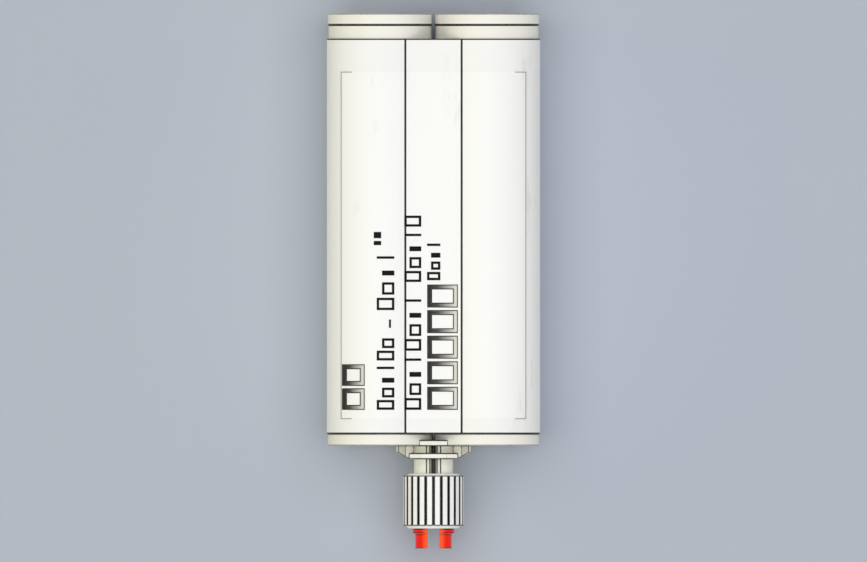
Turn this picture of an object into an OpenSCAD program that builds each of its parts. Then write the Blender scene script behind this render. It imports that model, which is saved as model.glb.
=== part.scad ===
// Side-by-side two-part adhesive cartridge: two equal barrels, a screw nut and a double plug.
// The pieces are drawn upright, with z running from the rear rims to the outlet, and then laid
// on their side, so that the finished object rests on its sleeve with the outlet towards -Y.

/* [Barrels] */
// Inside diameter of each barrel
bore_d = 41.5; // [38:0.1:42]
// Wall of each barrel
barrel_wall = 1.4; // [1:0.1:1.5]
// How far the rear rim and the front shoulder stand out from the barrel
collar_step = 0.35; // [0.2:0.05:0.5]
// Gap between the rear rims of the two barrels
rim_gap = 0.9; // [0.9:0.1:3]
// Length of the rear rim
rim_length = 4.8; // [3:0.1:8]
// Length of bare barrel between the rim and the sleeve
bare_length = 6; // [2:0.1:12]
// Length of the front shoulder
shoulder_length = 5.1; // [4:0.1:8]
// Thickness of the closed front end
front_wall = 2.8; // [2:0.1:3.5]
// Depth of the widened mouth that lets the piston in
mouth_depth = 8; // [4:0.5:10]
// How much wider than the bore the mouth is, on the radius
mouth_step = 0.5; // [0.2:0.1:0.7]
// Length of the cone that leads from the mouth into the bore
lead_in = 1.2; // [0.5:0.1:2]
// Thickness of the web that joins the barrels
web_thickness = 3.4; // [2:0.1:6]
// Bevel on the outer edges of the rims and shoulders
edge_bevel = 0.3; // [0.1:0.05:0.5]

/* [Sleeve] */
// Length of the printed sleeve
sleeve_length = 169.9; // [140:0.1:200]
// Wall of the sleeve
sleeve_wall = 0.6; // [0.4:0.05:0.8]
// Clearance between the sleeve and the barrels
sleeve_gap = 0.15; // [0.05:0.05:0.2]
// Width of the flat panel between the two round sides
panel_width = 24.2; // [16:0.1:28]

/* [Label] */
// Width of the label, seen from above
label_width = 79.8; // [50:0.1:84]
// Length of the label
label_length = 149.4; // [110:0.1:152]
// Distance from the rear edge of the sleeve to the label
label_inset = 14.2; // [4:0.1:16]
// Thickness of the label
label_thickness = 0.15; // [0.1:0.01:0.25]
// Thickness of the printed marks
ink_thickness = 0.06; // [0.05:0.01:0.1]
// Thickness of the glue under the label, left open
glue_gap = 0.02; // [0.01:0.01:0.05]
// Distance from the front edge of the label to the printed rows
print_inset = 4; // [2:0.1:10]
// Width of the band in the large printed frames
band_width = 2.1; // [1.6:0.1:3]
// Width of the fine outline round the large printed frames
outline_width = 0.4; // [0.3:0.02:0.6]
// Width of the strokes of the small printed marks
stroke_width = 1.05; // [0.6:0.05:1.2]

/* [Outlet flange] */
// Diameter of the round boss and of the flange in front of it
flange_d = 32.1; // [28:0.1:36]
// How deep the boss is set into the front shoulder
boss_depth = 2.2; // [1:0.1:4]
// Gap between the front shoulder and the lugs
lug_gap = 3.4; // [2.5:0.1:6]
// Thickness of the lugs
lug_thickness = 2.2; // [1.5:0.1:3]
// Width of the lugs
lug_width = 20.7; // [19:0.1:24]
// Width of the flat on each lug
lug_flat_width = 11.3; // [6:0.1:14]
// Thickness of the side ribs at the neck
rib_thickness = 2.6; // [2:0.1:4]
// Distance from the axis at which the side ribs begin to widen
rib_fork = 12.05; // [11:0.05:13]
// Width of the side ribs at the rim of the flange
rib_tail_width = 11.2; // [6:0.1:13]
// Length of the slope on the outer corners of the side ribs
rib_slope_length = 2.6; // [1:0.1:3]

/* [Neck] */
// Outside diameter of the neck
neck_d = 16.9; // [16:0.1:17.5]
// Length of the neck beyond the front shoulder
neck_length = 30.7; // [29:0.1:34]
// Outside diameter of the part of the neck that carries the thread
thread_core_d = 17.9; // [17.6:0.1:18.2]
// Length of the part of the neck that carries the thread
thread_length = 17.5; // [14:0.1:18]
// Diameter of the circle that holds the two outlets
outlet_d = 13.4; // [12:0.1:13.8]
// Distance between the flat sides of the two outlets
outlet_parting = 6.4; // [6:0.1:7]
// Width of the shallow groove along the front and back of the neck
groove_width = 6; // [5:0.1:6.2]
// Distance from the neck's axis to the floor of the shallow groove
groove_floor = 7.4; // [7.1:0.1:7.8]
// Width of the deep slot between the two outlets, at its mouth
slot_width = 3.4; // [2.5:0.1:3.8]
// Width of the deep slot at its round foot
slot_foot = 1.3; // [0.8:0.1:2]
// Thickness of the web left between the two deep slots
slot_web = 2; // [1.2:0.1:3]

/* [Nut] */
// Room for the thread between the neck and the nut, on the radius
thread_room = 0.95; // [0.7:0.05:1.2]
// Wall of the nut at the foot of its ribs
nut_wall = 1.85; // [1.5:0.05:2.5]
// Height of the nut's ribs
nut_rib_height = 1.25; // [0.8:0.05:1.6]
// Overall length of the nut
nut_length = 23.7; // [20:0.1:25]
// Thickness of the nut's end
nut_lip = 3.1; // [2:0.1:4]
// Number of grooves round the nut
nut_grooves = 24; // [12:1:30]
// Width of each groove at its foot
groove_foot = 0.75; // [0.5:0.05:1]
// Width of each groove at its mouth
groove_mouth = 1.05; // [0.8:0.05:1.4]
// Length of the plain bevel at the nut's open end
nut_bevel_length = 0.9; // [0.5:0.1:2]
// How far that bevel goes in, on the radius
nut_bevel_depth = 1.35; // [0.5:0.05:1.6]
// Length of the plain bevel at the nut's closed end
nut_nose_length = 1.3; // [0.6:0.1:2]
// How far that bevel goes in, on the radius
nut_nose_depth = 0.85; // [0.3:0.05:1.2]

/* [Double plug] */
// Diameter of the two stubs where they pass through the nut
shank_d = 16.3; // [15.4:0.1:16.6]
// Clearance of the stubs in the nut's hole, on the radius
hole_clearance = 0.3; // [0.1:0.05:0.4]
// How far the plug's flange and its bead reach past the nut's hole, on the radius
hold_step = 0.5; // [0.3:0.05:0.6]
// Thickness of the plug's flange
plug_flange_thickness = 1.7; // [1:0.1:3]
// Depth of the plugs in the outlets
plug_depth = 10; // [6:0.1:14]
// Clearance round the plugs in the outlets
plug_clearance = 0.15; // [0.1:0.01:0.2]
// Length of the bevel at the plugs' inner ends
plug_bevel = 1; // [0.5:0.1:2]
// Length of the bead
bead_length = 1.6; // [1:0.1:2.5]
// Length of the cone that leads over the bead
bead_cone = 0.9; // [0.5:0.1:2]
// How much thinner the stubs are beyond the bead, on the radius
stub_step = 0.35; // [0.2:0.05:0.8]
// Length of the two stubs beyond the bead
stub_length = 5.9; // [4:0.1:10]
// Distance between the flat sides of the two stubs
stub_parting = 5; // [4:0.1:6]
// Wall left round the hollow in each stub
stub_wall = 1.3; // [1:0.1:1.6]
// Depth of the hollow in each stub
stub_hollow = 7; // [3:0.1:8]
// Play between the neck, the plug and the nut along the axis
axial_play = 0.1; // [0.05:0.01:0.15]

/* [Pistons] */
// Distance from the rear rims to the pistons
piston_inset = 12; // [10:0.1:20]
// Length of each piston
piston_length = 14; // [12:0.1:20]
// Running clearance of the piston in the bore, on the radius
piston_clearance = 0.05; // [0.03:0.01:0.08]
// Wall of the piston's skirt
skirt_wall = 1.6; // [1.2:0.1:2]
// Thickness of the piston's face
face_thickness = 2.5; // [1.5:0.1:3]
// Bevel round the piston's face and the end of the bore
face_bevel = 0.8; // [0.3:0.1:1]
// Diameter of the ring's section
ring_section = 2; // [1.6:0.1:2.2]
// Clearance of the ring in its groove and in the bore
ring_clearance = 0.02; // [0.01:0.01:0.03]
// Thickness of plastic behind the ring
ring_backing = 1.6; // [1:0.1:2]
// Distance from the piston's face to the ring groove
ring_inset = 2; // [1.5:0.1:3]
// Diameter of the hub in the piston
hub_d = 10; // [8:0.1:14]
// Diameter of the vent hole in the hub
vent_d = 4; // [3:0.1:5]
// Clearance of the vent pin in its hole, on the radius
vent_clearance = 0.04; // [0.02:0.01:0.06]
// Diameter of the vent pin's head
vent_head_d = 7.2; // [6:0.1:8]
// Thickness of the vent pin's head
vent_head_thickness = 1.2; // [0.8:0.1:2]
// Number of ribs in each piston
piston_ribs = 6; // [4:1:8]
// Thickness of the piston's ribs
piston_rib_thickness = 1.2; // [0.8:0.1:2]
// How far the piston's ribs stop short of its open end
rib_inset = 3; // [1:0.1:6]

/* [Contents] */
// Clearance between the paste and what holds it
paste_gap = 0.05; // [0.03:0.01:0.1]
// Space between the piston and the paste
paste_space = 0.2; // [0.1:0.05:0.5]

/* [Hidden] */
$fn = 96;
// Small overrun that keeps cuts from ending on a face
over = 1;
// The resin barrel is on the left and the hardener barrel on the right, seen from above
RESIN = -1;
HARDENER = 1;

barrel_d = bore_d + 2 * barrel_wall;
collar_d = barrel_d + 2 * collar_step;
barrel_spacing = collar_d + rim_gap;
mouth_d = bore_d + 2 * mouth_step;
sleeve_in_r = barrel_d / 2 + sleeve_gap;
sleeve_r = sleeve_in_r + sleeve_wall;
sleeve_start = rim_length + bare_length;
shoulder_start = sleeve_start + sleeve_length;
body_length = shoulder_start + shoulder_length;
bore_end = body_length - front_wall;
// Height of the flat panel over the barrels' common plane
panel_z = sqrt(pow(sleeve_r, 2) - pow((barrel_spacing - panel_width) / 2, 2));

lug_start = body_length + lug_gap;
lug_end = lug_start + lug_thickness;
lug_flat_z = sqrt(pow(flange_d / 2, 2) - pow(lug_flat_width / 2, 2));
neck_end = body_length + neck_length;
thread_start = neck_end - thread_length;

nut_bore_d = thread_core_d + 2 * thread_room;
nut_core_d = nut_bore_d + 2 * nut_wall;
nut_d = nut_core_d + 2 * nut_rib_height;
nut_face_d = nut_core_d - 2 * nut_bevel_depth;
nut_nose_d = nut_core_d - 2 * nut_nose_depth;
nut_hole_d = shank_d + 2 * hole_clearance;
plug_flange_d = nut_hole_d + 2 * hold_step;
bead_d = plug_flange_d;
stub_d = shank_d - 2 * stub_step;

plug_start = neck_end + axial_play;
plug_face = plug_start + plug_flange_thickness;
lip_start = plug_face + axial_play;
nut_end = lip_start + nut_lip;
nut_start = nut_end - nut_length;
bead_start = nut_end + axial_play;
stub_start = bead_start + bead_length + bead_cone;
tip = stub_start + stub_length;

piston_d = bore_d - 2 * piston_clearance;
piston_front = piston_inset + piston_length;
ring_r = bore_d / 2 - ring_clearance - ring_section / 2;
ring_z = piston_front - ring_inset - ring_section / 2;
groove_r = ring_r - ring_section / 2 - ring_clearance;
// The piston is thicker where it carries the ring
belt_start = ring_z - ring_section / 2 - ring_backing;

label_start = sleeve_start + label_inset;
label_front = label_start + label_length;

// Rows of small marks. Across the label, in shares of its width: the base line and the height of
// a tall mark. Along the label, in shares of its length: the start and the room for one mark.
// Last, how many marks the row has.
SMALL_ROWS = [
    [-0.211, 0.095, 0, 0.0355, 6],
    [-0.211, 0.095, 0.287, 0.0445, 4],
    [-0.066, 0.091, 0, 0.0425, 8],
    [-0.066, 0.091, 0.368, 0.0398, 5],
    [0.037, 0.072, 0.373, 0.0300, 4]
];
// Rows of large frames, in the same shares
LARGE_ROWS = [
    [-0.371, 0.122, 0, 0.0690, 2],
    [0.131, 0.165, 0, 0.0736, 5]
];
// Plain marks: the base line, the height, the start and the length, in the same shares
PLAIN_MARKS = [
    [-0.240, 0.011, 0.236, 0.024],
    [-0.322, 0.040, 0.474, 0.012],
    [-0.322, 0.040, 0.494, 0.018]
];
// A mark's own share of the room it has in its row
mark_share = 0.8;
// Height of a low mark, as a share of a tall one
low_share = 0.7;

// Lays a piece that was drawn upright on its side, with the outlet towards -Y
module lay_down() {
    translate([0, tip / 2, sleeve_r]) rotate([90, 0, 0]) children();
}

// Moves a piece onto the axis of one barrel
module on_barrel(side) {
    translate([side * barrel_spacing / 2, 0, 0]) children();
}

// A disc from z0 to z1 with both outer edges bevelled
module bevelled_disc(d, z0, z1, bevel) {
    rotate_extrude()
        polygon([
            [0, z0], [d / 2 - bevel, z0], [d / 2, z0 + bevel],
            [d / 2, z1 - bevel], [d / 2 - bevel, z1], [0, z1]
        ]);
}

// A round bar from z0 to z1
module bar(d, z0, z1) {
    translate([0, 0, z0]) cylinder(d = d, h = z1 - z0);
}

// One half of a round bar, left after a band of the given width is cut from its middle
module half_bar(d, parting, side, z0, z1) {
    intersection() {
        bar(d, z0, z1);
        translate([side > 0 ? parting / 2 : -parting / 2 - d, -d, z0])
            cube([d, 2 * d, z1 - z0]);
    }
}

// The space inside one barrel: the widened mouth, its cone and the bore
module barrel_space() {
    bar(mouth_d, -over, mouth_depth);
    translate([0, 0, mouth_depth]) cylinder(d1 = mouth_d, d2 = bore_d, h = lead_in);
    bar(bore_d, mouth_depth, bore_end - face_bevel);
    translate([0, 0, bore_end - face_bevel])
        cylinder(d1 = bore_d, d2 = bore_d - 2 * face_bevel, h = face_bevel);
}

module barrel_outside() {
    bevelled_disc(collar_d, 0, rim_length, edge_bevel);
    bar(barrel_d, edge_bevel, body_length - edge_bevel);
    bevelled_disc(collar_d, shoulder_start, body_length, edge_bevel);
}

// Plan of one side rib, which forks out towards the rim of the flange
module side_rib_plan(side) {
    tail_x = sqrt(pow(flange_d / 2, 2) - pow(rib_tail_width / 2, 2));
    slope = (rib_tail_width - rib_thickness) / 2 / (tail_x - rib_fork);
    reach = flange_d / 2;
    tail_y = rib_thickness / 2 + slope * (reach - rib_fork);
    mirror([side > 0 ? 0 : 1, 0])
        polygon([
            [0, -rib_thickness / 2], [rib_fork, -rib_thickness / 2], [reach, -tail_y],
            [reach, tail_y], [rib_fork, rib_thickness / 2], [0, rib_thickness / 2]
        ]);
}

// The envelope that the side ribs are trimmed to: round, with a slope at the outer corners
module rib_envelope() {
    bar(flange_d, body_length - over, lug_end - rib_slope_length);
    translate([0, 0, lug_end - rib_slope_length])
        cylinder(d1 = flange_d, d2 = lug_width, h = rib_slope_length);
}

module side_ribs() {
    intersection() {
        union() for (side = [-1, 1])
            translate([0, 0, body_length - over])
                linear_extrude(lug_end - body_length + over) side_rib_plan(side);
        rib_envelope();
    }
}

// The two lugs in front and behind, on one plate round the neck
module lug_plate() {
    intersection() {
        bar(flange_d, lug_start, lug_end);
        translate([-lug_width / 2, -lug_flat_z, lug_start])
            cube([lug_width, 2 * lug_flat_z, lug_thickness]);
    }
}

// Plan of one deep slot, which narrows from the floor of the shallow groove to its round foot
module slot_plan() {
    foot_y = (slot_web + slot_foot) / 2;
    polygon([
        [-slot_foot / 2, foot_y], [slot_foot / 2, foot_y], [slot_width / 2, groove_floor],
        [slot_width / 2, groove_floor + over], [-slot_width / 2, groove_floor + over],
        [-slot_width / 2, groove_floor]
    ]);
    translate([0, foot_y]) circle(d = slot_foot);
}

// The grooves and slots that run along the front and back of the neck
module neck_slots() {
    for (turn = [0, 180]) rotate([0, 0, turn]) translate([0, 0, body_length]) {
        translate([-groove_width / 2, groove_floor, 0])
            cube([groove_width, neck_d, neck_length + over]);
        linear_extrude(neck_length + over) slot_plan();
    }
}

module neck() {
    difference() {
        union() {
            bar(neck_d, body_length - over, thread_start + over);
            bar(thread_core_d, thread_start, neck_end);
        }
        neck_slots();
    }
}

module outlet(side) {
    half_bar(outlet_d, outlet_parting, side, bore_end - over, neck_end + over);
}

module cartridge_body() {
    color("white") lay_down() difference() {
        union() {
            for (side = [RESIN, HARDENER]) on_barrel(side) barrel_outside();
            translate([-barrel_spacing / 2, -web_thickness / 2, sleeve_start])
                cube([barrel_spacing, web_thickness, body_length - sleeve_start - edge_bevel]);
            bar(flange_d, body_length - boss_depth, body_length);
            side_ribs();
            lug_plate();
            neck();
        }
        for (side = [RESIN, HARDENER]) {
            on_barrel(side) barrel_space();
            outlet(side);
        }
    }
}

// Outline of two round sides joined by flat panels, in front and behind
module two_lobe_plan(r, flat_y) {
    for (side = [-1, 1]) translate([side * barrel_spacing / 2, 0]) circle(r);
    square([barrel_spacing, 2 * flat_y], center = true);
}

// The outline of the sleeve, grown outwards by the given amount
module sleeve_plan(growth) {
    two_lobe_plan(sleeve_r + growth, panel_z + growth);
}

module wrap_sleeve() {
    color("whitesmoke") lay_down() translate([0, 0, sleeve_start]) linear_extrude(sleeve_length)
        difference() {
            sleeve_plan(0);
            sleeve_plan(-sleeve_wall);
        }
}

// A skin on the upper side of the sleeve, between two growths of its outline
module skin(inner, outer, z0, z1) {
    translate([0, 0, z0]) linear_extrude(z1 - z0) difference() {
        intersection() {
            sleeve_plan(outer);
            translate([-label_width / 2, 0]) square([label_width, sleeve_r + over]);
        }
        sleeve_plan(inner);
    }
}

module front_label() {
    color("white") lay_down() skin(glue_gap, glue_gap + label_thickness, label_start, label_front);
}

// Plan of a frame of the given line: x and width across the label, start and length along it,
// from the front edge of the print
module frame_plan(x, width, start, length, line) {
    difference() {
        translate([x, start]) square([width, length]);
        translate([x + line, start + line]) square([width - 2 * line, length - 2 * line]);
    }
}

// A skin of ink in the shape of the children, which are drawn as a plan of the print
module ink() {
    inner = label_thickness + 2 * glue_gap;
    intersection() {
        skin(inner, inner + ink_thickness, label_start, label_front);
        translate([0, 0, label_front - print_inset]) rotate([-90, 0, 0])
            linear_extrude(sleeve_r + over) children();
    }
}

// One small mark: in turn a tall frame, a low frame, a low block and a tall stroke
module small_mark(base, height, start, room, n) {
    kind = n % 4;
    width = kind == 0 || kind == 3 ? height : height * low_share;
    length = kind < 2 ? room * mark_share : (4 - kind) * stroke_width;
    place = start + n * room + (room * mark_share - length) / 2;
    if (kind < 2) frame_plan(base - width, width, place, length, stroke_width);
    else translate([base - width, place]) square([width, length]);
}

module small_rows() {
    for (row = SMALL_ROWS, n = [0 : row[4] - 1])
        small_mark(
            row[0] * label_width, row[1] * label_width,
            row[2] * label_length, row[3] * label_length, n
        );
}

module plain_marks() {
    for (mark = PLAIN_MARKS)
        translate([mark[0] * label_width, mark[2] * label_length])
            square([mark[1] * label_width, mark[3] * label_length]);
}

// The large frames, set in by the given distance from both sides of their band
module large_frames(inset) {
    for (row = LARGE_ROWS, n = [0 : row[4] - 1]) {
        width = row[1] * label_width - 2 * inset;
        length = row[3] * label_length * (1 + mark_share) / 2 - 2 * inset;
        frame_plan(
            row[0] * label_width - width - inset, width,
            (row[2] + n * row[3]) * label_length + inset, length, band_width - 2 * inset
        );
    }
}

module label_print() {
    color([0.06, 0.06, 0.07]) lay_down() ink() {
        small_rows();
        plain_marks();
        difference() {
            large_frames(0);
            large_frames(outline_width);
        }
    }
}

module label_fill() {
    color([0.45, 0.45, 0.43]) lay_down() ink() large_frames(outline_width + glue_gap);
}

module paste(side) {
    end = bore_end - face_bevel - paste_gap;
    front = bore_end - paste_gap;
    on_barrel(side) {
        bar(bore_d - 2 * paste_gap, piston_front + paste_space, end);
        translate([0, 0, end]) cylinder(
            d1 = bore_d - 2 * paste_gap, d2 = bore_d - 2 * paste_gap - 2 * face_bevel, h = face_bevel
        );
    }
    outlet_paste_d = outlet_d - 2 * paste_gap;
    outlet_paste_parting = outlet_parting + 2 * paste_gap;
    intersection() {
        half_bar(outlet_paste_d, outlet_paste_parting, side, front - face_bevel / 2, front + over);
        on_barrel(side) bar(bore_d - 2 * face_bevel - 2 * paste_gap, front - face_bevel, front + 2 * over);
    }
    half_bar(
        outlet_paste_d, outlet_paste_parting, side, front + over / 2,
        plug_start - plug_depth - paste_space
    );
}

module resin_fill() {
    color("gainsboro") lay_down() paste(RESIN);
}

module hardener_fill() {
    color("dimgray") lay_down() paste(HARDENER);
}

// The hollow behind the piston's face, open at the rear
module piston_hollow() {
    bar(piston_d - 2 * skirt_wall, piston_inset - over, belt_start);
    bar(2 * (groove_r - ring_backing), piston_inset - over, piston_front - face_thickness);
}

module piston() {
    difference() {
        union() {
            bar(piston_d, piston_inset, piston_front - face_bevel);
            translate([0, 0, piston_front - face_bevel])
                cylinder(d1 = piston_d, d2 = piston_d - 2 * face_bevel, h = face_bevel);
        }
        difference() {
            piston_hollow();
            bar(hub_d, piston_inset + rib_inset, piston_front);
            for (n = [0 : piston_ribs - 1]) rotate([0, 0, (n + 0.5) * 360 / piston_ribs])
                translate([hub_d / 2 - over, -piston_rib_thickness / 2, piston_inset + rib_inset])
                    cube([piston_d, piston_rib_thickness, piston_length]);
        }
        bar(vent_d, piston_inset, piston_front + over);
        difference() {
            bar(
                piston_d + over, ring_z - ring_section / 2 - ring_clearance,
                ring_z + ring_section / 2 + ring_clearance
            );
            bar(2 * groove_r, 0, piston_front);
        }
    }
}

module piston_ring() {
    translate([0, 0, ring_z]) rotate_extrude() translate([ring_r, 0]) circle(d = ring_section);
}

module vent_pin() {
    head_face = piston_inset + rib_inset;
    bar(vent_head_d, head_face - vent_head_thickness, head_face);
    bar(vent_d - 2 * vent_clearance, head_face - vent_head_thickness, piston_front);
}

module resin_piston() {
    color("white") lay_down() on_barrel(RESIN) piston();
}

module resin_piston_ring() {
    color([0.15, 0.15, 0.16]) lay_down() on_barrel(RESIN) piston_ring();
}

module resin_vent_pin() {
    color("ivory") lay_down() on_barrel(RESIN) vent_pin();
}

module hardener_piston() {
    color("white") lay_down() on_barrel(HARDENER) piston();
}

module hardener_piston_ring() {
    color([0.15, 0.15, 0.16]) lay_down() on_barrel(HARDENER) piston_ring();
}

module hardener_vent_pin() {
    color("ivory") lay_down() on_barrel(HARDENER) vent_pin();
}

// The part of the plug that closes one outlet, with a bevel at its inner end
module outlet_plug(side) {
    d = outlet_d - 2 * plug_clearance;
    inner_end = plug_start - plug_depth;
    intersection() {
        union() {
            translate([0, 0, inner_end]) cylinder(d1 = d - 2 * plug_bevel, d2 = d, h = plug_bevel);
            bar(d, inner_end + plug_bevel, plug_start + over / 2);
        }
        half_bar(
            outlet_d, outlet_parting + 2 * plug_clearance, side, inner_end, plug_start + over
        );
    }
}

// The two stubs outside the nut, before the space between them is cut away
module stub_round() {
    bar(shank_d, plug_face - over / 2, bead_start + over / 2);
    bar(bead_d, bead_start, bead_start + bead_length);
    translate([0, 0, bead_start + bead_length]) cylinder(d1 = bead_d, d2 = stub_d, h = bead_cone);
    bar(stub_d, stub_start, tip);
}

module double_plug() {
    color([0.93, 0.13, 0.02]) lay_down() difference() {
        union() {
            for (side = [RESIN, HARDENER]) outlet_plug(side);
            bar(plug_flange_d, plug_start, plug_face);
            stub_round();
        }
        translate([-stub_parting / 2, -bead_d, plug_face]) cube([stub_parting, 2 * bead_d, tip]);
        for (side = [RESIN, HARDENER])
            half_bar(
                stub_d - 2 * stub_wall, stub_parting + 2 * stub_wall, side,
                tip - stub_hollow, tip + over
            );
    }
}

// Plan of one groove between two ribs of the nut
module nut_groove_plan() {
    foot = nut_core_d / 2;
    mouth = nut_d / 2;
    // The sides are carried on past the mouth, so that the cut clears the ribs
    spread = (groove_mouth - groove_foot) / 2 / (mouth - foot);
    outer = mouth + over;
    outer_half = groove_foot / 2 + spread * (outer - foot);
    polygon([
        [foot, -groove_foot / 2], [outer, -outer_half], [outer, outer_half], [foot, groove_foot / 2]
    ]);
}

module nut_outside() {
    rib_start = nut_start + nut_bevel_length;
    rib_end = nut_end - nut_nose_length;
    translate([0, 0, nut_start]) cylinder(d1 = nut_face_d, d2 = nut_core_d, h = nut_bevel_length);
    bar(nut_core_d, rib_start, rib_end);
    difference() {
        bar(nut_d, rib_start, rib_end);
        for (n = [0 : nut_grooves - 1]) rotate([0, 0, 90 + n * 360 / nut_grooves])
            translate([0, 0, rib_start - over]) linear_extrude(nut_length) nut_groove_plan();
    }
    translate([0, 0, rib_end]) cylinder(d1 = nut_core_d, d2 = nut_nose_d, h = nut_nose_length);
}

module retaining_nut() {
    color("white") lay_down() difference() {
        nut_outside();
        bar(nut_bore_d, nut_start - over, lip_start);
        bar(nut_hole_d, lip_start - over, nut_end + over);
    }
}

cartridge_body();
wrap_sleeve();
front_label();
label_print();
label_fill();
resin_fill();
hardener_fill();
resin_piston();
resin_piston_ring();
resin_vent_pin();
hardener_piston();
hardener_piston_ring();
hardener_vent_pin();
double_plug();
retaining_nut();
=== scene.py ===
import bpy
import bmesh
import math
from mathutils import Matrix, Vector


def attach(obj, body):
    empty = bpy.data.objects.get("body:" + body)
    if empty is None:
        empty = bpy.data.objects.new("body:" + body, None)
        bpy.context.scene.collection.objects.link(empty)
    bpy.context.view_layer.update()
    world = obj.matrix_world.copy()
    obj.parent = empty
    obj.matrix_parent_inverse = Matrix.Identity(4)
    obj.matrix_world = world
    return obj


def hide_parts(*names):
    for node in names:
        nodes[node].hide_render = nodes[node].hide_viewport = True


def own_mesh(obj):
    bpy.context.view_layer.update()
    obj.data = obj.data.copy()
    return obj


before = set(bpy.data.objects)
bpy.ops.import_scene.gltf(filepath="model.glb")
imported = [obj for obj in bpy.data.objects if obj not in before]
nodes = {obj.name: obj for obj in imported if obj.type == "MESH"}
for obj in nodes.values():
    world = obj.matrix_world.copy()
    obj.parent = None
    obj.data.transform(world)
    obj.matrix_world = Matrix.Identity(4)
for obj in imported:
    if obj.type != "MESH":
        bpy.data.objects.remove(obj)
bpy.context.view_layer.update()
print("frame loaded:", len(nodes), "nodes")

# lengths are in mm unless a note says otherwise, and a z runs from the rear rims to the outlet, as in
# the part's source
mm = 0.001
cartridge = {
    "length": 230.0,
    "axisHeight": 22.9,      # of the barrels over the floor
    "spacing": 45.9,         # between the barrels' axes
    "boreEnd": 183.0,        # z of the barrels' front wall
}


def rowY(z):
    # where a z lies once the cartridge is on its back
    return (cartridge["length"] / 2 - z) * mm


def layDown(bm):
    # an upright mesh in mm becomes metres in the row frame, on its back
    turn = Matrix.Rotation(math.radians(90), 4, "X")
    bmesh.ops.scale(bm, vec=(mm, mm, mm), verts=bm.verts)
    bmesh.ops.transform(bm, matrix=turn, verts=bm.verts)
    bmesh.ops.translate(bm, vec=(0, rowY(0), cartridge["axisHeight"] * mm), verts=bm.verts)


def makePiece(name, bm, body, finish, smoothAngle=30):
    bmesh.ops.remove_doubles(bm, verts=bm.verts, dist=0.0001)
    layDown(bm)
    bmesh.ops.recalc_face_normals(bm, faces=bm.faces)
    for face in bm.faces:
        face.smooth = True
    for edge in bm.edges:
        if len(edge.link_faces) == 2 and edge.calc_face_angle() > math.radians(smoothAngle):
            edge.smooth = False
    mesh = bpy.data.meshes.new(name)
    bm.to_mesh(mesh)
    bm.free()
    piece = bpy.data.objects.new(name, mesh)
    bpy.context.scene.collection.objects.link(piece)
    piece.data.materials.append(finish)
    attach(piece, body)
    return piece


# materials

class Wire:
    # one socket of a node tree, so that shader maths reads as plain sums
    def __init__(self, maker, socket):
        self.maker = maker
        self.socket = socket

    def calc(self, operation, *values):
        return self.maker.node("Math", {"operation": operation}, dict(enumerate(values)))

    def __add__(self, other):
        return self.calc("ADD", self, other)

    def __mul__(self, other):
        return self.calc("MULTIPLY", self, other)

    def __sub__(self, other):
        return self.calc("SUBTRACT", self, other)

    def __rsub__(self, other):
        return self.calc("SUBTRACT", other, self)

    def __pow__(self, other):
        return self.calc("POWER", self, other)

    def __abs__(self):
        return self.calc("ABSOLUTE", self)

    def larger(self, other):
        return self.calc("MAXIMUM", self, other)

    __radd__ = __add__
    __rmul__ = __mul__


class NodeMaker:
    # makes every node of one material, or of the world
    def __init__(self, tree):
        self.tree = tree
        tree.nodes.clear()

    def node(self, kind, settings=None, inputs=None, output=0):
        made = self.tree.nodes.new("ShaderNode" + kind)
        for name, value in (settings or {}).items():
            if name == "stops":
                ramp = made.color_ramp
                ramp.elements[0].position, ramp.elements[0].color = value[0]
                ramp.elements[1].position, ramp.elements[1].color = value[-1]
                for place, colour in value[1:-1]:
                    ramp.elements.new(place).color = colour
            else:
                setattr(made, name, value)
        for name, value in (inputs or {}).items():
            if isinstance(value, Wire):
                self.tree.links.new(value.socket, made.inputs[name])
            else:
                made.inputs[name].default_value = value
        return Wire(self, made.outputs[output]) if made.outputs else None


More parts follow.
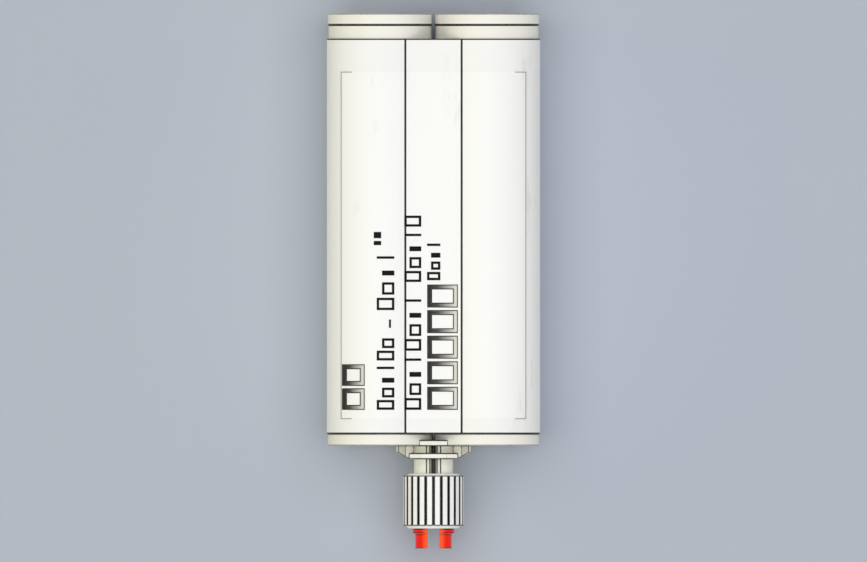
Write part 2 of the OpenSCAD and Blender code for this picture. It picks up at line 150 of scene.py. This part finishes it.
class Finish(NodeMaker):
    def __init__(self, name):
        self.material = bpy.data.materials.new(name)
        self.material.use_nodes = True
        super().__init__(self.material.node_tree)
        self.place = self.node("TexCoord", output="Object")
        apart = self.node("SeparateXYZ", inputs={0: self.place}).socket.node
        self.x, self.y, self.z = [Wire(self, socket) for socket in apart.outputs]

    def noise(self, scale, detail=3.0, roughness=0.5, stretch=(1, 1, 1)):
        place = self.node("Mapping", inputs={"Vector": self.place, "Scale": stretch})
        sockets = {"Vector": place, "Scale": scale, "Detail": detail, "Roughness": roughness}
        return self.node("TexNoise", inputs=sockets)

    def fade(self, value, full, none):
        # 1 where value is at full, 0 where it is at none, smooth between them
        limits = {"Value": value, "From Min": full, "From Max": none, "To Min": 1.0, "To Max": 0.0}
        return self.node("MapRange", {"interpolation_type": "SMOOTHSTEP"}, limits)

    def fadeMm(self, value, full, none):
        return self.fade(value, full * mm, none * mm)

    def fadeAlong(self, full, none):
        # the same along the cartridge, from one z to another
        return self.fade(self.y, rowY(full), rowY(none))

    def mix(self, share, first, second):
        sockets = {0: share, 6: first, 7: second}
        return self.node("Mix", {"data_type": "RGBA"}, sockets, output=2)

    def corners(self, reach):
        # how closed in a point is by its own piece: 0 on an open face, nearly 1 deep in a corner
        settings = {"samples": 12, "only_local": True}
        return 1 - self.node("AmbientOcclusion", settings, {"Distance": reach * mm}, "AO")

    def edges(self, reach):
        # how near a point is to a sharp edge: 0 on an open face, up to 0.3 at a square edge
        rounded = self.node("Bevel", {"samples": 16}, {"Radius": reach * mm})
        flat = self.node("NewGeometry", output="Normal")
        sockets = {0: rounded, 1: flat}
        return 1 - self.node("VectorMath", {"operation": "DOT_PRODUCT"}, sockets, "Value")

    def softBump(self, radius, height, depth):
        # relief on a surface whose edges are softly rounded
        rounded = self.node("Bevel", {"samples": 6}, {"Radius": radius * mm})
        sockets = {"Distance": depth * mm, "Height": height, "Normal": rounded}
        return self.node("Bump", None, sockets)

    def axisDistance(self, offAxis):
        # how far a point is from a lengthwise axis at the barrels' height
        rise = self.z - cartridge["axisHeight"] * mm
        return (offAxis * offAxis + rise * rise) ** 0.5

    def close(self, constants, wires):
        shader = self.node("BsdfPrincipled", None, {**constants, **wires})
        self.node("OutputMaterial", None, {"Surface": shader})
        return self.material


plasticLook = {              # what every moulded piece starts from
    "cloudScale": 14.0,
    "speckleScale": 420.0,
    "speckleShare": 0.15,
    "toneRoughness": 0.06,           # how far the clouds and the speckle each change the roughness
    "streakScale": 160.0,
    "streakWay": (1, 0.08, 1),       # rubbed streaks run along the cartridge
    "streaks": (0.74, 0.60),         # noise where a streak is full, and where it ends
    "rubbed": 0.4,
    "rubbedRoughness": 0.12,
    "rubbedHeight": 0.05,
    "cornerRoughness": 0.2,
    "lineFade": (0.035, 0.004),      # nearness to an edge where its line is full, and where it ends
    "ior": 1.49,
    "specular": 0.5,
    "edge": 0.2,                     # radius that the edges are softened by
    "grainScale": 2600.0,
    "grainHeight": 0.9,
    "grainDepth": 0.004,
}


def mouldedPlastic(name, ownLook, shade=None):
    # plastic straight from the mould: a cloudy tone, fine grain and a few rubbed streaks
    look = {**plasticLook, **ownLook}
    finish = Finish(name)
    cloud = finish.noise(look["cloudScale"], 2.0)
    speckle = finish.noise(look["speckleScale"], 3.0)
    streak = finish.noise(look["streakScale"], 4.0, 0.65, look["streakWay"])
    rubbed = finish.fade(streak, *look["streaks"]) * look["rubbed"]
    tone = cloud * (1 - look["speckleShare"]) + speckle * look["speckleShare"]
    colour = finish.mix(tone, look["colour"], look["tint"])
    uneven = (speckle - 0.5) * look["toneRoughness"] + (cloud - 0.5) * look["toneRoughness"]
    roughness = look["roughness"] + uneven + rubbed * look["rubbedRoughness"]
    # painted shade: darker where the piece closes in on itself, in its corners
    if "cornerShade" in look:
        cornerShaded = finish.fade(finish.corners(look["cornerShadeReach"]), *look["cornerShadeFade"])
        colour = finish.mix(cornerShaded, colour, look["cornerShade"])
        roughness = roughness + cornerShaded * look["cornerRoughness"]
    # dark lines painted along the sharp edges: painted shade in the creases, a painted outline on the
    # outer edges
    if "lines" in look:
        lined = finish.fade(finish.edges(look["lineReach"]), *look["lineFade"]) * look["lineShare"]
        colour = finish.mix(lined, colour, look["lines"])
    if shade:
        colour, roughness = shade(finish, colour, roughness)
    grain = finish.noise(look["grainScale"], 2.0)
    height = grain * look["grainHeight"] + rubbed * look["rubbedHeight"]
    normal = finish.softBump(look["edge"], height, look["grainDepth"])
    constants = {"IOR": look["ior"], "Specular IOR Level": look["specular"]}
    wires = {"Base Color": colour, "Roughness": roughness, "Normal": normal}
    return finish.close(constants, wires)


bodyLook = {
    "colour": (0.85, 0.84, 0.765, 1.0),
    "tint": (0.82, 0.805, 0.725, 1.0),
    "roughness": 0.32,
    "specular": 0.35,
    "edge": 0.25,
    "cornerShade": (0.22, 0.22, 0.20, 1.0),     # painted shade in the corners of the moulding
    "cornerShadeReach": 1.6,
    "cornerShadeFade": (0.75, 0.30),
    "lines": (0.03, 0.03, 0.027, 1.0),   # dark lines painted along the sharp edges: painted shade in the creases, a painted outline on the outer edges
    "lineReach": 0.68,
    "lineShare": 1.0,
    "seam": (0.01, 0.01, 0.01, 1.0),     # painted shade in the step behind the rim
    "seamAt": 4.98,                      # its z
    "seamWidth": (0.35, 0.455),
    "seamSkin": (21.9, 21.6),            # from the barrel's axis: the seam is on the outside only
    "seamRoughness": 0.3,
    "slot": (0.05, 0.052, 0.06, 1.0),    # shade in the deep slots along the neck
    "slotShare": 0.85,
    "slotWidth": (0.55, 1.15),           # from the neck's middle, across and up
    "slotHeight": (5.6, 7.2),
    "slotStart": (186.0, 185.6),
    "slotEnd": (216.4, 216.2),
    "slotRoughness": 0.2,
}


def bodyShade(finish, colour, roughness):
    # a thin line of painted shade behind the rims, and shade in the slots along the neck
    look = bodyLook
    offBarrel = abs(finish.x) - cartridge["spacing"] / 2 * mm
    skin = finish.fadeMm(finish.axisDistance(offBarrel), *look["seamSkin"])
    seam = finish.fadeMm(abs(finish.y - rowY(look["seamAt"])), *look["seamWidth"]) * skin
    colour = finish.mix(seam, colour, look["seam"])
    rise = abs(finish.z - cartridge["axisHeight"] * mm)
    across = finish.fadeMm(abs(finish.x), *look["slotWidth"]) * finish.fadeMm(rise, *look["slotHeight"])
    slot = across * finish.fadeAlong(*look["slotStart"]) * (1 - finish.fadeAlong(*look["slotEnd"]))
    colour = finish.mix(slot * look["slotShare"], colour, look["slot"])
    return colour, roughness + slot * look["slotRoughness"] + seam * look["seamRoughness"]


nutLook = {
    "colour": (0.88, 0.88, 0.865, 1.0),
    "tint": (0.85, 0.85, 0.835, 1.0),
    "roughness": 0.32,
    "specular": 0.35,
    "edge": 0.15,
    # dark lines painted along the sharp edges
    "lines": (0.03, 0.03, 0.03, 1.0),
    "lineReach": 0.44,
    "lineShare": 0.9,
    # painted shade in the grooves, and the colour of the painted dark line at the ribs' ends
    "groove": (0.008, 0.008, 0.009, 1.0),
    "grooveDeep": (12.92, 12.985),       # from the nut's axis: below the crest of the ribs
    "grooveSkin": (11.2, 11.5),          # and outside the nut's core
    "grooveStart": (199.1, 198.7),
    "grooveEnd": (220.2, 219.8),
    "ribMiddle": 209.45,                 # z of the ribs' middle
    "ribLength": 21.5,
    "ribEndWidth": (0.35, 0.45),         # of the painted dark line where the ribs begin and end
    "ribEndShare": 0.85,
    "darkenedRoughness": 0.3,
}


def nutShade(finish, colour, roughness):
    # painted shade darkens the grooves between the ribs, and a painted dark line runs where the ribs
    # begin and end
    look = nutLook
    radius = finish.axisDistance(finish.x)
    deep = finish.fadeMm(radius, *look["grooveDeep"])
    outside = 1 - finish.fadeMm(radius, *look["grooveSkin"])
    inGroove = finish.fadeAlong(*look["grooveStart"]) * (1 - finish.fadeAlong(*look["grooveEnd"]))
    fromEnd = abs(abs(finish.y - rowY(look["ribMiddle"])) - look["ribLength"] / 2 * mm)
    ribEnd = finish.fadeMm(fromEnd, *look["ribEndWidth"]) * (1 - deep) * look["ribEndShare"]
    shadeAndEndLine = (deep * outside * inGroove).larger(ribEnd)
    return finish.mix(shadeAndEndLine, colour, look["groove"]), roughness + shadeAndEndLine * look["darkenedRoughness"]


plugLook = {
    "colour": (0.96, 0.016, 0.0, 1.0),
    "tint": (0.87, 0.011, 0.0, 1.0),
    "roughness": 0.3,
    "specular": 0.18,
    "edge": 0.2,
    # painted shade in the corners of the moulding
    "cornerShade": (0.13, 0.003, 0.0005, 1.0),
    "cornerShadeReach": 1.2,
    "cornerShadeFade": (0.55, 0.25),
    # dark lines painted along the sharp edges
    "lines": (0.05, 0.001, 0.0, 1.0),
    "lineReach": 0.9,
    "lineShare": 0.9,
    "innerHighlight": (1.0, 0.13, 0.035, 1.0),
    "innerHighlightFade": (3.3, 5.4),              # from the middle, where the painted highlight is full, and where it ends
    "innerHighlightShare": 0.8,
}


def plugShade(finish, colour, roughness):
    # painted highlight: the stubs are painted lighter and more orange towards their flat inner sides
    near = finish.fadeMm(abs(finish.x), *plugLook["innerHighlightFade"])
    return finish.mix(near * plugLook["innerHighlightShare"], colour, plugLook["innerHighlight"]), roughness


pistonLook = {
    "colour": (0.78, 0.77, 0.73, 1.0),
    "tint": (0.72, 0.71, 0.66, 1.0),
    "roughness": 0.45,
}
ringLook = {
    "colour": (0.02, 0.02, 0.022, 1.0),
    "tint": (0.035, 0.035, 0.035, 1.0),
    "roughness": 0.5,
    "edge": 0.05,
}
pinLook = {
    "colour": (0.70, 0.66, 0.56, 1.0),
    "tint": (0.64, 0.60, 0.50, 1.0),
    "roughness": 0.4,
    "edge": 0.15,
}
resinLook = {
    "colour": (0.72, 0.69, 0.58, 1.0),
    "tint": (0.66, 0.62, 0.50, 1.0),
    "roughness": 0.35,
    "edge": 0.1,
    "grainScale": 300.0,
    "grainDepth": 0.1,
}
hardenerLook = {
    **resinLook,
    "colour": (0.09, 0.09, 0.10, 1.0),
    "tint": (0.13, 0.13, 0.14, 1.0),
}
inkLook = {
    "colour": (0.005, 0.005, 0.006, 1.0),
    "tint": (0.012, 0.012, 0.013, 1.0),
    "roughness": 0.55,
    "specular": 0.04,
    "edge": 0.03,
    "rubbed": 0.2,
}
shadedInkLook = {
    "leftRow": (-39.4, -29.6),           # x of the two rows of large marks
    "codeRow": (-2.8, 10.5),
    "between": (-20.0, -10.0),           # x where the first row's gradient gives way to the second's
    "stops": [
        (0.0, (0.02, 0.02, 0.018, 1.0)), (0.35, (0.075, 0.075, 0.066, 1.0)),
        (0.7, (0.42, 0.41, 0.36, 1.0)), (1.0, (0.80, 0.78, 0.70, 1.0)),
    ],
    "speckleScale": 1800.0,
    "speckleShare": 0.06,
    "roughness": 0.45,
    "speckleRoughness": 0.1,
    "specular": 0.06,
    "edge": 0.03,
    "depth": 0.006,
}


def shadedInk(name, look):
    # printed marks with painted shading: the ink turns from black on the left to cream on the right
    # across each row
    finish = Finish(name)
    shares = []
    for row in ("leftRow", "codeRow"):
        low, high = look[row]
        limits = {"Value": finish.x, "From Min": low * mm, "From Max": high * mm}
        shares.append(finish.node("MapRange", None, limits))
    inCode = 1 - finish.fadeMm(finish.x, *look["between"])
    across = shares[0] * (1 - inCode) + shares[1] * inCode
    speckle = finish.noise(look["speckleScale"], 2.0)
    share = across + (speckle - 0.5) * look["speckleShare"]
    colour = finish.node("ValToRGB", {"stops": look["stops"]}, {"Fac": share})
    roughness = look["roughness"] + (speckle - 0.5) * look["speckleRoughness"]
    normal = finish.softBump(look["edge"], speckle, look["depth"])
    wires = {"Base Color": colour, "Roughness": roughness, "Normal": normal}
    return finish.close({"Specular IOR Level": look["specular"]}, wires)


filmLook = {                 # what the sleeve and the label share
    "crease": (0.008, 0.008, 0.008, 1.0),
    "foldAt": 12.1,                      # of the two scored folds, from the middle
    "foldWidth": (0.40, 0.48),           # to either side of it
    "foldHeight": 0.5,
    "cloudScale": 9.0,
    "cloudRoughness": 0.08,
    "fibreScale": 700.0,
    "fibreWay": (1, 0.2, 1),
    "fibreShare": 0.4,
    "fibreRoughness": 0.12,
    "fibreHeight": 0.12,
    "slackScale": 26.0,                  # shallow waves where the film isn't quite tight
    "slackWay": (1, 0.25, 1),
    "slackHeight": 3.0,
    "scuffScale": 90.0,                  # faint marks from handling
    "scuffWay": (1, 0.22, 1),
    "scuffs": (0.72, 0.60),
    "scuffRoughness": 0.5,
    "ior": 1.46,
    "specular": 0.22,
    "sheenRoughness": 0.4,
    "sheenTint": (1.0, 0.98, 0.92, 1.0),
    "edge": 0.12,
    "depth": 0.06,
}


def foldedFilm(name, look, edges):
    # thin printed film, scored along its two folds in front and behind
    finish = Finish(name)
    cloud = finish.noise(look["cloudScale"], 2.0)
    fibre = finish.noise(look["fibreScale"], 4.0, 0.6, look["fibreWay"])
    slack = finish.noise(look["slackScale"], 2.0, 0.5, look["slackWay"])
    mark = finish.noise(look["scuffScale"], 6.0, 0.7, look["scuffWay"])
    tone = cloud * (1 - look["fibreShare"]) + fibre * look["fibreShare"]
    colour = finish.mix(tone, look["colour"], look["tint"])
    scuff = finish.fade(mark, *look["scuffs"]) * look["scuffShare"]
    colour = finish.mix(scuff, colour, look["scuff"])
    # painted shade: a dark line along each of the two folds
    fold = finish.fadeMm(abs(abs(finish.x) - look["foldAt"] * mm), *look["foldWidth"])
    colour = finish.mix(fold, colour, look["crease"])
    colour, step = edges(finish, colour)
    uneven = (fibre - 0.5) * look["fibreRoughness"] + (cloud - 0.5) * look["cloudRoughness"]
    roughness = look["roughness"] + uneven + scuff * look["scuffRoughness"]
    relief = fibre * look["fibreHeight"] + slack * look["slackHeight"]
    height = relief + (1 - fold) * look["foldHeight"] + step
    normal = finish.softBump(look["edge"], height, look["depth"])
    wires = {"Base Color": colour, "Roughness": roughness, "Normal": normal}
    constants = {
        "IOR": look["ior"], "Specular IOR Level": look["specular"], "Sheen Weight": look["sheen"],
        "Sheen Roughness": look["sheenRoughness"], "Sheen Tint": look["sheenTint"],
    }
    return finish.close(constants, wires)


def fromEnds(finish, look):
    # how far a point is from the nearer of the film's two cut ends
    middle = (look["rearEnd"] + look["frontEnd"]) / 2
    halfLength = (look["frontEnd"] - look["rearEnd"]) / 2
    return halfLength * mm - abs(finish.y - rowY(middle))


sleeveLook = {
    **filmLook,
    "colour": (0.88, 0.88, 0.87, 1.0),
    "tint": (0.86, 0.86, 0.85, 1.0),
    "scuff": (0.60, 0.60, 0.585, 1.0),
    "scuffShare": 0.35,
    "roughness": 0.5,
    "sheen": 0.08,
    "rearEnd": 10.8,                     # z of the sleeve's two cut ends
    "frontEnd": 180.7,
    "cutWidth": (0.5, 0.6),
    "behind": (10.0, 12.0),              # over the floor: the back of the sleeve is below this
    "overlap": (0.60, 0.60, 0.585, 1.0),
    "overlapAt": 9.0,                    # x of the glued overlap, which runs along the back
    "overlapLine": (0.10, 0.22),
    "overlapSlope": (-0.1, 0.1),
    "overlapHeight": 1.5,
}


def sleeveEdges(finish, colour):
    # the cut ends are dark lines, and behind, one side of the film is glued over the other
    look = sleeveLook
    cut = finish.fadeMm(fromEnds(finish, look), *look["cutWidth"])
    colour = finish.mix(cut, colour, look["crease"])
    behind = finish.fadeMm(finish.z, *look["behind"])
    past = finish.x - look["overlapAt"] * mm
    line = finish.fadeMm(abs(past), *look["overlapLine"]) * behind
    lap = finish.fadeMm(past, *look["overlapSlope"]) * behind
    return finish.mix(line, colour, look["overlap"]), lap * look["overlapHeight"]


labelLook = {
    **filmLook,
    "colour": (0.90, 0.90, 0.89, 1.0),
    "tint": (0.885, 0.885, 0.875, 1.0),
    "scuff": (0.68, 0.68, 0.665, 1.0),
    "scuffShare": 0.3,
    "roughness": 0.38,
    "sheen": 0.05,
    "halfWidth": 39.9,
    "rearEnd": 25.0,                     # z of the label's two ends
    "frontEnd": 174.4,
    "line": (0.36, 0.35, 0.33, 1.0),
    "lineWidth": (0.34, 0.476),
    "cornerLength": (4.5, 4.95),         # how far the line turns in at the label's corners
    "lineHeight": 0.2,
}


def labelEdges(finish, colour):
    # a hairline printed along the label's sides, turned in at its corners
    look = labelLook
    side = look["halfWidth"] * mm - abs(finish.x)
    corner = finish.fadeMm(side, *look["cornerLength"])
    ends = finish.fadeMm(fromEnds(finish, look), *look["lineWidth"]) * corner
    line = finish.fadeMm(side, *look["lineWidth"]).larger(ends)
    return finish.mix(line, colour, look["line"]), line * look["lineHeight"]


bodyFinish = mouldedPlastic("bodyPlastic", bodyLook, bodyShade)
nutFinish = mouldedPlastic("nutPlastic", nutLook, nutShade)
plugFinish = mouldedPlastic("plugPlastic", plugLook, plugShade)
pistonFinish = mouldedPlastic("pistonPlastic", pistonLook)
ringFinish = mouldedPlastic("sealRubber", ringLook)
pinFinish = mouldedPlastic("pinPlastic", pinLook)
resinFinish = mouldedPlastic("resinPaste", resinLook)
hardenerFinish = mouldedPlastic("hardenerPaste", hardenerLook)
inkFinish = mouldedPlastic("blackInk", inkLook)
shadedInkFinish = shadedInk("shadedInk", shadedInkLook)
sleeveFinish = foldedFilm("sleeveFilm", sleeveLook, sleeveEdges)
labelFinish = foldedFilm("labelFilm", labelLook, labelEdges)

finishes = {
    "cartridge_body": bodyFinish,
    "wrap_sleeve": sleeveFinish,
    "front_label": labelFinish,
    "label_print": inkFinish,
    "label_fill": shadedInkFinish,
    "double_plug": plugFinish,
    "retaining_nut": nutFinish,
}
for side in ("resin", "hardener"):
    finishes[side + "_piston"] = pistonFinish
    finishes[side + "_piston_ring"] = ringFinish
    finishes[side + "_vent_pin"] = pinFinish
for name, finish in finishes.items():
    for materialSlot in nodes[name].material_slots:
        materialSlot.material = finish
print("finishes made:", len(finishes))

# thread on the neck and in the nut

neckThreadLook = {
    "lead": 6.0,             # travel of the nut in one turn
    "starts": 2,
    "steps": 10,             # for every 45 degrees
    "first": 199.6,          # z where the neck's thread begins, and where it ends
    "last": 215.6,
    "root": 8.9,             # radius at the ridge's foot, and at its crest
    "crest": 9.55,
    "rootWidth": 1.5,
    "crestWidth": 0.7,
    "grooveHalfAngle": 21.0,     # of the neck's two grooves, which the ridges leave open
}
nutThreadLook = {
    "last": 215.8,
    "root": 9.95,
    "crest": 9.3,
    "rootWidth": 1.3,
    "crestWidth": 0.6,
}


def addRidge(bm, look, startAngle, sweep, z):
    # one stretch of a helical ridge: its section is drawn, then spun and raised
    half, tip = look["rootWidth"] / 2, look["crestWidth"] / 2
    turn = Matrix.Rotation(math.radians(startAngle), 3, "Z")
    root, crest = look["root"], look["crest"]
    section = [(root, -half), (crest, -tip), (crest, tip), (root, half)]
    corners = [bm.verts.new(turn @ Vector((r, 0, z + h))) for r, h in section]
    face = bm.faces.new(corners)
    steps = max(2, round(neckThreadLook["steps"] * sweep / 45))
    rise = neckThreadLook["lead"] * sweep / 360 / steps
    bmesh.ops.spin(
        bm, geom=[face, *face.edges, *corners], cent=(0, 0, 0), axis=(0, 0, 1),
        dvec=(0, 0, rise), angle=math.radians(sweep), steps=steps, use_merge=False,
    )


def neckThread(look):
    # the ridges run between the two grooves of the neck only
    bm = bmesh.new()
    sweep = 180 - 2 * look["grooveHalfAngle"]
    pitch = look["lead"] / look["starts"]
    rise = look["lead"] * sweep / 360
    for side in (0, 1):
        start = side * 180 - 90 + look["grooveHalfAngle"]
        z = look["first"] + look["lead"] * (start + 90) / 360 % pitch
        while z + rise <= look["last"]:
            addRidge(bm, look, start, sweep, z)
            z += pitch
    return bm


def nutThread(look):
    # each start runs for as many eighths of a turn as fit
    bm = bmesh.new()
    lead, starts = neckThreadLook["lead"], neckThreadLook["starts"]
    pitch = lead / starts
    for n in range(starts):
        z = neckThreadLook["first"] + pitch / 2 + n * pitch
        turns = math.floor((look["last"] - z) / lead * 8) / 8
        addRidge(bm, look, -90, 360 * turns, z)
    return bm


def closeEnds(bm):
    open_ = [edge for edge in bm.edges if edge.is_boundary]
    if open_:
        bmesh.ops.holes_fill(bm, edges=open_, sides=0)


neckRidges = neckThread(neckThreadLook)
closeEnds(neckRidges)
makePiece("neckThread", neckRidges, "cartridge", bodyFinish)
nutRidges = nutThread(nutThreadLook)
closeEnds(nutRidges)
makePiece("nutThread", nutRidges, "nut", nutFinish)
print("threads made")

# pastes: a part in each barrel, ahead of its piston, and a part in its outlet

pasteLook = {
    "segments": 96,
    "rear": 26.2,            # z of the barrel paste's rear face, on its piston
    "frontGap": 0.05,        # to the barrels' front wall
    "radius": 20.7,
    "bevel": 0.8,
    "wipes": (3.0, 5.0, 6.0),    # width of the rings that the piston wiped into the rear face
    "wipeDepth": 0.15,
    "outletGap": 0.02,
    "outletRadius": 6.65,
    "outletInner": 3.25,     # from the neck's axis to the flat side of the outlet
    "outletEnd": 206.4,
    "flattened": 0.0015,     # share of the barrel paste's length that is left at the piston's limit
}


def pasteBar(bm, x, start, end, radius, segments):
    made = bmesh.ops.create_cone(
        bm, cap_ends=True, segments=segments, radius1=radius, radius2=radius, depth=end - start,
    )
    bmesh.ops.translate(bm, vec=(x, 0, (start + end) / 2), verts=made["verts"])


def barrelPaste(side, look):
    bm = bmesh.new()
    front = cartridge["boreEnd"] - look["frontGap"]
    x = side * cartridge["spacing"] / 2
    pasteBar(bm, x, look["rear"], front, look["radius"], look["segments"])
    rim = [edge for edge in bm.edges if all(abs(vert.co.z - front) < 0.01 for vert in edge.verts)]
    bmesh.ops.bevel(
        bm, geom=rim, offset=look["bevel"], affect="EDGES", segments=1, profile=0.5, material=-1,
    )
    rear = [face for face in bm.faces if face.normal.z < -0.9]
    for wipe in look["wipes"]:
        bmesh.ops.inset_region(bm, faces=rear, thickness=wipe, depth=-look["wipeDepth"])
    return bm


def outletPaste(side, look):
    bm = bmesh.new()
    start = cartridge["boreEnd"] - look["outletGap"]
    pasteBar(bm, 0, start, look["outletEnd"], look["outletRadius"], look["segments"])
    cut = bmesh.ops.bisect_plane(
        bm, geom=[*bm.verts, *bm.edges, *bm.faces], plane_co=(side * look["outletInner"], 0, 0),
        plane_no=(-side, 0, 0), clear_outer=True,
    )
    edges = [piece for piece in cut["geom_cut"] if isinstance(piece, bmesh.types.BMEdge)]
    bmesh.ops.edgeloop_fill(bm, edges=edges)
    return bm


frontWall = (0, rowY(cartridge["boreEnd"] - pasteLook["frontGap"]), 0)
for word, side, finish in (("resin", -1, resinFinish), ("hardener", 1, hardenerFinish)):
    slotName = word + "_paste"
    bm = barrelPaste(side, pasteLook)
    barrel = makePiece(word + "BarrelPaste", bm, "cartridge", finish)
    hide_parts(word + "_fill")
    word + "_push"
    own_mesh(barrel)
    bm = outletPaste(side, pasteLook)
    makePiece(word + "OutletPaste", bm, "cartridge", finish)
print("pastes made")

# floor, lights and camera, in metres

floorLook = {
    "colour": (0.45, 0.49, 0.56, 1.0),
    "tint": (0.43, 0.47, 0.54, 1.0),
    "halfWidth": 3.0,
    "cloudScale": 3.0,
    "roughness": 0.7,
    "cloudRoughness": 0.1,
    "specular": 0.2,
}
lightLook = {
    "ambient": 0.11,
    "key": 11.0,             # a wide lamp straight above
    "keySize": (1.5, 1.3),
    "keyHeight": 0.9,
    "left": 1.7,             # four low lamps that face the cartridge's sides and ends
    "leftColour": (1.0, 0.92, 0.45),
    "right": 1.2,
    "rightColour": (1.0, 0.92, 0.90),
    "ends": 1.2,
    "away": 1.5,
    "low": 0.36,
    "lowSize": (1.6, 0.55),
    "beam": 90.0,            # degrees that a low lamp's light fans out
    "aimHeight": 0.03,
}
cameraLook = {
    "pixels": 867,           # width of the picture
    "mmPerPixel": 0.43,
    "height": 0.9,
}


def makeFloor(look):
    bm = bmesh.new()
    bmesh.ops.create_grid(bm, x_segments=1, y_segments=1, size=look["halfWidth"])
    mesh = bpy.data.meshes.new("floor")
    bm.to_mesh(mesh)
    bm.free()
    floor = bpy.data.objects.new("floor", mesh)
    bpy.context.scene.collection.objects.link(floor)
    finish = Finish("floorPaint")
    cloud = finish.noise(look["cloudScale"], 2.0)
    colour = finish.mix(cloud, look["colour"], look["tint"])
    roughness = look["roughness"] + cloud * look["cloudRoughness"]
    wires = {"Base Color": colour, "Roughness": roughness}
    floor.data.materials.append(finish.close({"Specular IOR Level": look["specular"]}, wires))


def makeWorld(look):
    # the camera and reflections see plain white, and the rest of the light is a faint ambient
    world = bpy.data.worlds.new("studio")
    world.use_nodes = True
    bpy.context.scene.world = world
    sky = NodeMaker(world.node_tree)
    toCamera = sky.node("LightPath", output="Is Camera Ray")
    inGloss = sky.node("LightPath", output="Is Glossy Ray")
    throughGlass = sky.node("LightPath", output="Is Transmission Ray")
    seen = toCamera.larger(inGloss.larger(throughGlass))
    plain = (1.0, 1.0, 1.0, 1.0)
    ambient = sky.node("Background", None, {"Color": plain, "Strength": look["ambient"]})
    backdrop = sky.node("Background", None, {"Color": plain, "Strength": 1.0})
    shown = sky.node("MixShader", None, {0: seen, 1: ambient, 2: backdrop})
    sky.node("OutputWorld", None, {"Surface": shown})


def addLamp(name, place, aim, size, power, colour, beam=180.0, glossy=True):
    data = bpy.data.lights.new(name, "AREA")
    data.shape = "RECTANGLE"
    data.size, data.size_y = size
    data.energy = power
    data.color = colour
    data.spread = math.radians(beam)
    lamp = bpy.data.objects.new(name, data)
    lamp.visible_camera = False
    lamp.visible_glossy = glossy
    lamp.location = place
    lamp.rotation_euler = (Vector(aim) - Vector(place)).to_track_quat("-Z", "Y").to_euler()
    bpy.context.scene.collection.objects.link(lamp)


def addLamps(look):
    white = (1.0, 1.0, 1.0)
    above = (0, 0, look["keyHeight"])
    addLamp("keyLamp", above, (0, 0, 0), look["keySize"], look["key"], white)
    for name, x, y, power, colour in (
        ("leftLamp", -1, 0, look["left"], look["leftColour"]),
        ("rightLamp", 1, 0, look["right"], look["rightColour"]),
        ("rearLamp", 0, 1, look["ends"], white),
        ("frontLamp", 0, -1, look["ends"], white),
    ):
        # the low lamps would glare on the film at a grazing angle, so gloss doesn't show them
        place = (x * look["away"], y * look["away"], look["low"])
        aim = (0, 0, look["aimHeight"])
        addLamp(name, place, aim, look["lowSize"], power, colour, look["beam"], glossy=False)


def addCamera(look):
    data = bpy.data.cameras.new("camera")
    data.type = "ORTHO"
    data.ortho_scale = look["pixels"] * look["mmPerPixel"] * mm
    data.clip_start, data.clip_end = 0.01, 20
    camera = bpy.data.objects.new("camera", data)
    camera.location = (0, 0, look["height"])
    bpy.context.scene.collection.objects.link(camera)
    bpy.context.scene.camera = camera


makeFloor(floorLook)
makeWorld(lightLook)
addLamps(lightLook)
addCamera(cameraLook)
bpy.context.scene.view_settings.view_transform = "Standard"
print("stage made")
